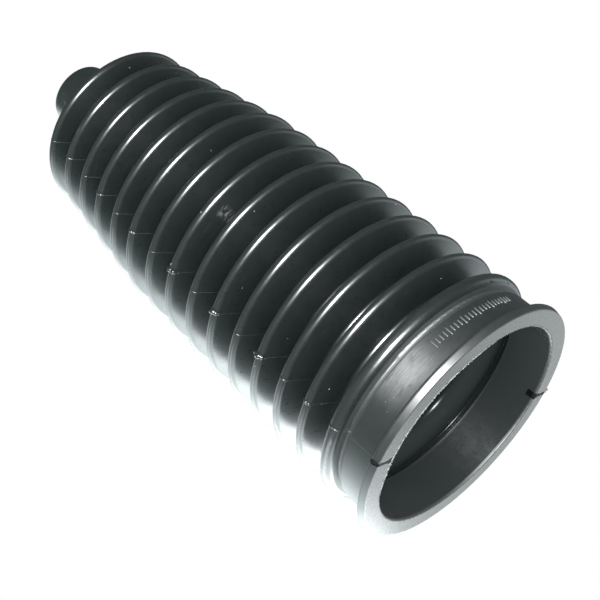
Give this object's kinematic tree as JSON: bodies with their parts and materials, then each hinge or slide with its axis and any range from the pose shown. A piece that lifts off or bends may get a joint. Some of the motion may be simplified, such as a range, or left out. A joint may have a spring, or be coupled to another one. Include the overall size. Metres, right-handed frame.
{
  "type": "bellows boot",
  "caption": "Corrugated rubber boot that tapers from a wide lipped cuff to a narrow beaded one, for sealing the joint between a steering rack and its tie rod.",
  "frame": {"origin": "centre of the large end's face, which the boot stands on", "axes": "+Z along the boot's axis, towards the small end"},
  "size_m": [0.0626, 0.0626, 0.145],
  "materials": {
    "black_rubber": "semi-gloss"
  },
  "bodies": {
    "root": {"bellows_boot": "black_rubber"}
  },
  "joints": []
}
